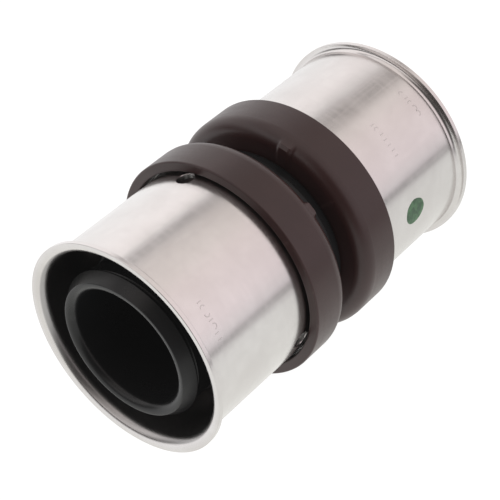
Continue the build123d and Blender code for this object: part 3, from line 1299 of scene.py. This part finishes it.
@dataclass(frozen=True)
class Studio:
    """White sweep, softbox dome and camera.

    Limits of a fade are shares of a direction's length along X, Y or Z, and a seam is its middle,
    its half width and its blur along Z.
    """

    azimuth: float = -51.325
    elevation: float = 42.263
    distance: float = 245.75
    aim_right: float = -1.294
    aim_up: float = -2.007
    lens: float = 111.47
    floor_reach: float = 3.0
    floor_white: float = 0.97
    floor_light: Colour = (0.155, 0.155, 0.155)
    floor_dark: Colour = (0.145, 0.145, 0.145)
    seam_depth: float = 0.62
    near_seam: tuple[float, float, float] = (0.730, 0.030, 0.035)
    near_azimuths: Point = (-12.0, 8.0)
    side_seam: tuple[float, float, float] = (-0.078, 0.035, 0.040)
    side_azimuths: Point = (-20.0, -40.0)
    far_share: float = 0.94
    far_fade: Point = (0.54, 0.64)
    shade_ahead: Point = (-0.50, -0.02)
    shade_height: Point = (-0.24, 0.06)
    panel_side: Point = (-0.25, 0.10)
    panel_height: Point = (0.12, 0.38)
    shade_colour: Colour = (0.075, 0.070, 0.067)
    veil: float = 0.0035
    dome: tuple[tuple[float, Colour], ...] = (
        (-180.0, (0.93, 0.88, 0.90)),
        (-164.0, (0.95, 0.95, 0.93)),
        (-77.0, (0.97, 0.97, 0.93)),
        (-36.0, (1.07, 1.07, 1.07)),
        (-5.0, (1.18, 1.17, 1.17)),
        (42.0, (1.24, 1.18, 1.17)),
        (60.0, (1.10, 1.05, 1.04)),
        (75.0, (0.96, 0.89, 0.86)),
        (99.0, (0.98, 0.90, 0.87)),
        (115.0, (1.02, 0.91, 0.90)),
        (160.0, (1.07, 0.96, 0.98)),
        (180.0, (0.93, 0.88, 0.90)),
    )

    @property
    def ahead(self) -> Vector:
        """The direction that the camera looks in."""
        a = math.radians(self.azimuth)
        e = math.radians(self.elevation)
        return Vector((-math.sin(a) * math.cos(e), math.cos(a) * math.cos(e), -math.sin(e)))

    def camera(self) -> None:
        """Set up the camera at its azimuth and elevation."""
        a = math.radians(self.azimuth)
        right = Vector((math.cos(a), math.sin(a), 0.0))
        ahead = self.ahead
        up = right.cross(ahead)
        aim = (right * self.aim_right + up * self.aim_up) * MM
        place = aim - ahead * self.distance * MM
        data = bpy.data.cameras.new("camera")
        data.lens = self.lens
        data.sensor_width = 36.0
        data.clip_start = 0.01
        data.clip_end = 20.0
        eye = bpy.data.objects.new("camera", data)
        turned = Matrix((right, up, -ahead)).transposed()
        eye.matrix_world = Matrix.Translation(place) @ turned.to_4x4()
        bpy.context.scene.collection.objects.link(eye)
        bpy.context.scene.camera = eye

    def floor(self) -> None:
        """Lay the white floor under the rings."""
        low = CAD_BOX[0][2]
        reach = self.floor_reach
        square = ((-reach, -reach), (reach, -reach), (reach, reach), (-reach, reach))
        material = bpy.data.materials.new("white_floor")
        material.use_nodes = True
        tree = Tree(material.node_tree)
        shader = material.node_tree.nodes["Principled BSDF"]
        where = tree.add("ShaderNodeTexCoord").outputs["Object"]
        noise = tree.noise(where, 400.0, 3.0)
        fibre = tree.blend(noise, self.floor_light, self.floor_dark)
        tree.feed(shader.inputs["Base Color"], fibre)
        shader.inputs["Roughness"].default_value = 0.9
        shader.inputs["Specular IOR Level"].default_value = 0.0
        shader.inputs["Emission Color"].default_value = (1.0, 1.0, 1.0, 1.0)
        shader.inputs["Emission Strength"].default_value = self.floor_white
        floor = from_faces("floor", [(x, y, low) for x, y in square], [(0, 1, 2, 3)], material)
        floor.visible_glossy = False

    def light(self) -> None:
        """Surround the coupling with a soft dome, plain white where the camera looks at it."""
        world = bpy.data.worlds.new("softbox_dome")
        bpy.context.scene.world = world
        world.use_nodes = True
        tree = Tree(world.node_tree)
        background = world.node_tree.nodes["Background"]
        ray = tree.add("ShaderNodeTexCoord").outputs["Generated"]
        axes = tree.add("ShaderNodeSeparateXYZ", {0: ray})
        x, y, z = (axes.outputs[name] for name in "XYZ")
        lit = tree.scaled(self._dome_colour(tree, y, z), self._seams(tree, x, y, z))
        lit = tree.scaled(lit, tree.step(x, *self.far_fade, out=(1.0, self.far_share)))
        lit = tree.blend(self._open_side(tree, x, y, z), lit, self.shade_colour)
        seen = tree.add("ShaderNodeLightPath").outputs["Is Camera Ray"]
        tree.feed(background.inputs["Color"], tree.blend(seen, lit, (1.0, 1.0, 1.0)))
        background.inputs["Strength"].default_value = 1.0

    def _dome_colour(self, tree: Tree, y: Socket, z: Socket) -> Socket:
        """Colour of the dome by the angle about X."""
        share = tree.math("MULTIPLY_ADD", tree.math("ARCTAN2", z, y), 1 / (2 * math.pi), 0.5)
        ramp = tree.add("ShaderNodeValToRGB", {0: share})
        stops = ramp.color_ramp.elements
        while len(stops) > 1:
            stops.remove(stops[-1])
        for number, (degrees, colour) in enumerate(self.dome):
            at = (degrees + 180.0) / 360.0
            stop = stops[0] if number == 0 else stops.new(at)
            stop.position = at
            stop.color = (*colour, 1.0)
        return ramp.outputs["Color"]

    def _seams(self, tree: Tree, x: Socket, y: Socket, z: Socket) -> Socket:
        """Share of the light that two seams between softboxes leave, each on its own side."""
        azimuth = tree.math("ARCTAN2", y, x)
        near = tree.step(azimuth, *(math.radians(limit) for limit in self.near_azimuths))
        side = tree.step(azimuth, *(math.radians(limit) for limit in self.side_azimuths))
        upper = tree.math("MULTIPLY", self._seam(tree, z, *self.near_seam), near)
        lower = tree.math("MULTIPLY", self._seam(tree, z, *self.side_seam), side)
        return tree.math("MULTIPLY_ADD", tree.math("MAXIMUM", upper, lower), -self.seam_depth, 1.0)

    @staticmethod
    def _seam(tree: Tree, value: Socket, centre: float, half: float, blur: float) -> Socket:
        """Mask of a seam across a direction's component."""
        away = tree.math("ABSOLUTE", tree.math("SUBTRACT", value, centre))
        return tree.step(away, half, half + blur, out=(1.0, 0.0))

    def _open_side(self, tree: Tree, x: Socket, y: Socket, z: Socket) -> Socket:
        """Mask of the dark room that the mouth faces, above the floor and beside one panel."""
        ahead = tree.step(x, *self.shade_ahead, out=(1.0, 0.0))
        room = tree.math("MULTIPLY", ahead, tree.step(z, *self.shade_height))
        beside = tree.step(y, *self.panel_side)
        panel = tree.math("MULTIPLY", beside, tree.step(z, *self.panel_height))
        return tree.math("MULTIPLY", room, tree.math("SUBTRACT", 1.0, panel))

    def build(self) -> None:
        """Set up the whole studio."""
        self.camera()
        self.floor()
        self.light()
        shown = bpy.context.scene.view_settings
        shown.view_transform = "Standard"
        shown.use_curve_mapping = True
        shown.curve_mapping.black_level = (-self.veil, -self.veil, -self.veil)
        shown.curve_mapping.update()
        LOG.info("studio: floor, dome and camera")


def main() -> None:
    """Build the coupling, piece by piece, in its studio."""
    logging.basicConfig(level=logging.INFO, format="%(name)s: %(message)s")
    Studio().build()
    shop = Workshop()
    InsertBody().build(shop)
    for end in End:
        Seal(end, "inner", 18.0).build(shop)
        Seal(end, "outer", 23.5).build(shop)
    RetainingRing(End.FRONT, 130.2).build(shop)
    RetainingRing(End.REAR, 99.8).build(shop)
    PressSleeve(End.FRONT, 72.4).build(shop)
    PressSleeve(End.REAR, 65.0).build(shop)
    StampedMarks(End.FRONT, [(27.5, 130.0, 7, 3)]).build(shop)
    StampedMarks(End.REAR, [(27.5, 115.0, 5, 5), (18.5, 118.0, 7, 8)]).build(shop)
    PaintMark().build(shop)


if __name__ == "__main__":
    main()
